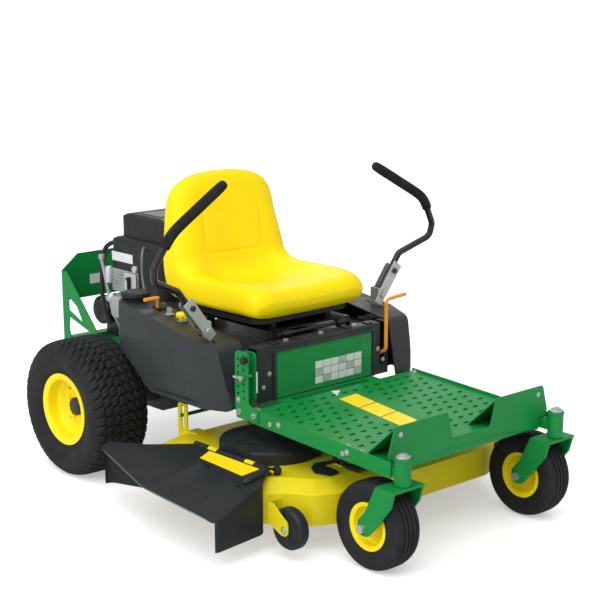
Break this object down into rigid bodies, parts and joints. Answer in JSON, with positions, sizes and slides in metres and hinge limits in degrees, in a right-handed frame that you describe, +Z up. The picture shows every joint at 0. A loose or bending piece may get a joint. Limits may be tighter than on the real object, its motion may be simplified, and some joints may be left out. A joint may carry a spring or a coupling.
{
  "type": "zero turn mower",
  "caption": "Ride-on lawn mower steered by two lap bars, with a side-discharge deck between swivelling front casters and driven rear wheels.",
  "frame": {"origin": "bottom centre of the whole machine's bounding box, on the ground the tyres stand on", "axes": "+X towards the front of the machine, along its longest extent; +Y to the operator's left; +Z up"},
  "size_m": [1.8876, 1.3172, 1.0433],
  "materials": {
    "green_paint": "gloss",
    "yellow_paint": "gloss",
    "black_paint": "satin",
    "orange_paint": "gloss",
    "seat_vinyl": "satin",
    "black_plastic": "matte",
    "grey_plastic": "matte",
    "orange_plastic": "satin",
    "yellow_plastic": "satin",
    "tyre": "matte",
    "foam": "matte",
    "belt_rubber": "matte",
    "bare_aluminium": "satin",
    "zinc_steel": "satin",
    "blade_steel": "satin"
  },
  "bodies": {
    "chassis": {"main_frame": "green_paint", "foot_platform": "green_paint", "rear_guard": "green_paint", "engine_block": "bare_aluminium", "engine_shroud": "black_plastic", "air_filter_cover": "black_plastic", "muffler": "black_paint", "transaxles": "bare_aluminium", "transaxle_belt": "belt_rubber", "pod_left": "grey_plastic", "pod_right": "grey_plastic", "fuel_tank": "black_plastic", "front_panel": "grey_plastic", "seat_deck": "black_paint", "battery": "black_plastic", "height_gate": "green_paint", "frame_bolts": "zinc_steel"},
    "crank": {"engine_crank": "zinc_steel"},
    "seat_base": {"seat_plate": "black_paint"},
    "seat": {"seat_pan": "black_plastic", "seat_cushion": "seat_vinyl"},
    "deck": {"mower_deck": "yellow_paint", "spindle_housings": "bare_aluminium", "belt_covers": "black_plastic", "deck_brackets": "yellow_paint", "mower_belt": "belt_rubber"},
    "chute": {"discharge_chute": "black_plastic"},
    "brake": {"brake_lever": "orange_paint"},
    "throttle": {"throttle_lever": "orange_plastic"},
    "blade_clutch_knob": {"pto_knob": "yellow_plastic"},
    "key": {"ignition_key": "zinc_steel"},
    "tank_cap": {"fuel_cap": "black_plastic"},
    "lift_pin": {"height_pin": "zinc_steel"},
    "rear_wheel_left": {"rear_tyre_left": "tyre", "rear_rim_left": "yellow_paint"},
    "caster_swivel_left": {"caster_fork_left": "green_paint", "caster_hardware_left": "zinc_steel"},
    "caster_wheel_left": {"caster_tyre_left": "tyre", "caster_rim_left": "yellow_paint"},
    "drive_input_left": {"transaxle_input_left": "zinc_steel"},
    "blade_left": {"blade_spindle_left": "zinc_steel", "mower_blade_left": "blade_steel"},
    "scalp_wheel_left": {"scalp_wheel_left": "black_plastic"},
    "control_arm_left": {"control_arm_left": "zinc_steel"},
    "lap_bar_left": {"lap_bar_left": "black_paint", "lap_grip_left": "foam"},
    "rear_wheel_right": {"rear_tyre_right": "tyre", "rear_rim_right": "yellow_paint"},
    "caster_swivel_right": {"caster_fork_right": "green_paint", "caster_hardware_right": "zinc_steel"},
    "caster_wheel_right": {"caster_tyre_right": "tyre", "caster_rim_right": "yellow_paint"},
    "drive_input_right": {"transaxle_input_right": "zinc_steel"},
    "blade_right": {"blade_spindle_right": "zinc_steel", "mower_blade_right": "blade_steel"},
    "scalp_wheel_right": {"scalp_wheel_right": "black_plastic"},
    "control_arm_right": {"control_arm_right": "zinc_steel"},
    "lap_bar_right": {"lap_bar_right": "black_paint", "lap_grip_right": "foam"}
  },
  "joints": [
    {"name": "crank_spin", "type": "hinge", "parent": "chassis", "child": "crank", "pos_m": [-0.5798, 0.05239, 0.3], "axis": [0, 0, 1], "continuous": true},
    {"name": "rear_wheel_left_spin", "type": "hinge", "parent": "chassis", "child": "rear_wheel_left", "pos_m": [-0.4698, 0.4991, 0.231], "axis": [0, 1, 0], "continuous": true},
    {"name": "caster_left_swivel", "type": "hinge", "parent": "chassis", "child": "caster_swivel_left", "pos_m": [0.9072, 0.38679, 0.3], "axis": [0, 0, 1], "continuous": true},
    {"name": "caster_wheel_left_spin", "type": "hinge", "parent": "caster_swivel_left", "child": "caster_wheel_left", "pos_m": [0.8112, 0.38679, 0.1326], "axis": [0, 1, 0], "continuous": true},
    {"name": "drive_input_left_spin", "type": "hinge", "parent": "chassis", "child": "drive_input_left", "pos_m": [-0.4348, 0.1524, 0.3], "axis": [0, 0, 1], "continuous": true},
    {"name": "blade_left_spin", "type": "hinge", "parent": "deck", "child": "blade_left", "pos_m": [0.2702, 0.31839, 0.2], "axis": [0, 0, 1], "continuous": true},
    {"name": "scalp_wheel_left_spin", "type": "hinge", "parent": "deck", "child": "scalp_wheel_left", "pos_m": [0.6042, 0.53239, 0.097], "axis": [0, 1, 0], "continuous": true},
    {"name": "control_arm_left_swing", "type": "hinge", "parent": "chassis", "child": "control_arm_left", "pos_m": [0.0902, 0.38239, 0.5], "axis": [0, 1, 0], "range_deg": [-15, 15], "stiffness_Nm_per_rad": 60},
    {"name": "lap_bar_left_open", "type": "hinge", "parent": "control_arm_left", "child": "lap_bar_left", "pos_m": [0.0902, 0.44039, 0.592], "axis": [-1, 0, 0], "range_deg": [-28, 0]},
    {"name": "rear_wheel_right_spin", "type": "hinge", "parent": "chassis", "child": "rear_wheel_right", "pos_m": [-0.4698, -0.39431, 0.231], "axis": [0, 1, 0], "continuous": true},
    {"name": "caster_right_swivel", "type": "hinge", "parent": "chassis", "child": "caster_swivel_right", "pos_m": [0.9072, -0.28201, 0.3], "axis": [0, 0, 1], "continuous": true},
    {"name": "caster_wheel_right_spin", "type": "hinge", "parent": "caster_swivel_right", "child": "caster_wheel_right", "pos_m": [0.8112, -0.28201, 0.1326], "axis": [0, 1, 0], "continuous": true},
    {"name": "drive_input_right_spin", "type": "hinge", "parent": "chassis", "child": "drive_input_right", "pos_m": [-0.4348, -0.04761, 0.3], "axis": [0, 0, 1], "continuous": true},
    {"name": "blade_right_spin", "type": "hinge", "parent": "deck", "child": "blade_right", "pos_m": [0.2702, -0.2136, 0.2], "axis": [0, 0, 1], "continuous": true},
    {"name": "scalp_wheel_right_spin", "type": "hinge", "parent": "deck", "child": "scalp_wheel_right", "pos_m": [0.6042, -0.42761, 0.097], "axis": [0, 1, 0], "continuous": true},
    {"name": "control_arm_right_swing", "type": "hinge", "parent": "chassis", "child": "control_arm_right", "pos_m": [0.0902, -0.2776, 0.5], "axis": [0, 1, 0], "range_deg": [-15, 15], "stiffness_Nm_per_rad": 60},
    {"name": "lap_bar_right_open", "type": "hinge", "parent": "control_arm_right", "child": "lap_bar_right", "pos_m": [0.0902, -0.3356, 0.592], "axis": [1, 0, 0], "range_deg": [-28, 0]},
    {"name": "seat_tilt", "type": "hinge", "parent": "chassis", "child": "seat_base", "pos_m": [0.1802, 0.05239, 0.54], "axis": [0, 1, 0], "range_deg": [0, 55]},
    {"name": "seat_slide", "type": "slide", "parent": "seat_base", "child": "seat", "axis": [1, 0, 0], "range_m": [-0.03, 0.05]},
    {"name": "deck_lift", "type": "slide", "parent": "chassis", "child": "deck", "axis": [0, 0, 1], "range_m": [-0.03, 0.04], "deforming": ["mower_belt"]},
    {"name": "chute_flip", "type": "hinge", "parent": "deck", "child": "chute", "pos_m": [0.2802, -0.37761, 0.222], "axis": [-1, 0, 0], "range_deg": [0, 65]},
    {"name": "brake_swing", "type": "hinge", "parent": "chassis", "child": "brake", "pos_m": [0.1982, 0.31039, 0.405], "axis": [0, 1, 0], "range_deg": [-25, 0]},
    {"name": "throttle_swing", "type": "hinge", "parent": "chassis", "child": "throttle", "pos_m": [-0.2058, -0.2826, 0.56513], "axis": [0, 1, 0], "range_deg": [-20, 20]},
    {"name": "knob_pull", "type": "slide", "parent": "chassis", "child": "blade_clutch_knob", "axis": [0, 0, 1], "range_m": [0, 0.018]},
    {"name": "key_turn", "type": "hinge", "parent": "chassis", "child": "key", "pos_m": [-0.1358, -0.2856, 0.57], "axis": [0, 0, 1], "range_deg": [0, 60]},
    {"name": "cap_turn", "type": "hinge", "parent": "chassis", "child": "tank_cap", "pos_m": [-0.3038, -0.29561, 0.615], "axis": [0, 0, 1], "range_deg": [0, 120]},
    {"name": "pin_pull", "type": "slide", "parent": "chassis", "child": "lift_pin", "axis": [0, -1, 0], "range_m": [0, 0.06]}
  ],
  "couplings": [
    {"joint": "drive_input_left_spin", "follows": "crank_spin", "ratio": 0.89858},
    {"joint": "blade_left_spin", "follows": "crank_spin", "ratio": 0.57841},
    {"joint": "drive_input_right_spin", "follows": "crank_spin", "ratio": 0.89858},
    {"joint": "blade_right_spin", "follows": "crank_spin", "ratio": 0.57841}
  ]
}
